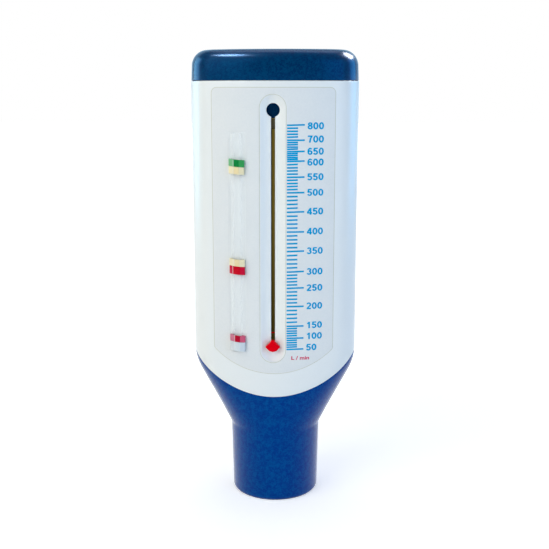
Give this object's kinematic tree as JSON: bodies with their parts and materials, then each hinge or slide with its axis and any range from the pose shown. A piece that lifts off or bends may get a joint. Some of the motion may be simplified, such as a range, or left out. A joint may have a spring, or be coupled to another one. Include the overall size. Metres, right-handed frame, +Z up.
{
  "type": "peak flow meter",
  "caption": "Hand-held breath gauge: a spring-held piston in a slotted barrel pushes a red pointer up a scale, with a blue cap and mouthpiece and zone markers on a rail.",
  "frame": {"origin": "centre of the mouthpiece rim, in the plane that the meter stands on", "axes": "+Z up the body from the mouthpiece to the cap, -Y out of the front face with the scale, +X to the right as the scale is read"},
  "size_m": [0.053, 0.0338, 0.1463],
  "materials": {
    "white_shell": "glossy white moulding",
    "cap_blue": "glossy dark blue moulding",
    "neck_blue": "satin blue moulding",
    "label_film": "pale grey printed film",
    "clear_rail": "clear glossy moulding",
    "marker_green": "glossy green",
    "marker_yellow": "glossy pale yellow",
    "marker_red": "glossy red",
    "marker_pale": "glossy pale blue-grey",
    "pointer_red": "glossy red moulding",
    "barrel_brown": "olive brown, as seen through the slot",
    "piston_grey": "dark moulding",
    "steel": "drawn steel wire",
    "spring_steel": "coiled steel wire",
    "spider_white": "white moulding",
    "rubber": "soft black rubber"
  },
  "bodies": {
    "housing": {"front_shell": "white_shell", "rear_shell": "white_shell", "top_cap": "cap_blue", "mouthpiece_funnel": "neck_blue", "scale_label": "label_film", "zone_rail": "clear_rail", "measuring_barrel": "barrel_brown", "barrel_gasket": "rubber", "inlet_spider": "spider_white", "guide_rod": "steel", "rod_clip": "steel", "top_buffer": "rubber", "return_spring": "spring_steel"},
    "piston_body": {"piston": "piston_grey"},
    "pointer_body": {"pointer": "pointer_red"},
    "marker_upper": {"marker_upper_green": "marker_green", "marker_upper_yellow": "marker_yellow"},
    "marker_middle": {"marker_middle_yellow": "marker_yellow", "marker_middle_red": "marker_red"},
    "marker_lower": {"marker_lower_red": "marker_red", "marker_lower_pale": "marker_pale"}
  },
  "joints": [
    {"name": "piston_slide", "type": "slide", "parent": "housing", "child": "piston_body", "axis": [0, 0, 1], "range_m": [0, 0.0715], "stiffness_N_per_m": 4, "springref_m": -0.02, "deforming": ["return_spring"]},
    {"name": "pointer_slide", "type": "slide", "parent": "housing", "child": "pointer_body", "axis": [0, 0, 1], "range_m": [0, 0.0715]},
    {"name": "marker_upper_slide", "type": "slide", "parent": "housing", "child": "marker_upper", "axis": [0, 0, 1], "range_m": [-0.0124, 0.0078]},
    {"name": "marker_middle_slide", "type": "slide", "parent": "housing", "child": "marker_middle", "axis": [0, 0, 1], "range_m": [-0.01, 0.0138]},
    {"name": "marker_lower_slide", "type": "slide", "parent": "housing", "child": "marker_lower", "axis": [0, 0, 1], "range_m": [0, 0.0095]}
  ],
  "couplings": [
    {"joint": "pointer_slide", "follows": "piston_slide", "ratio": 1}
  ]
}
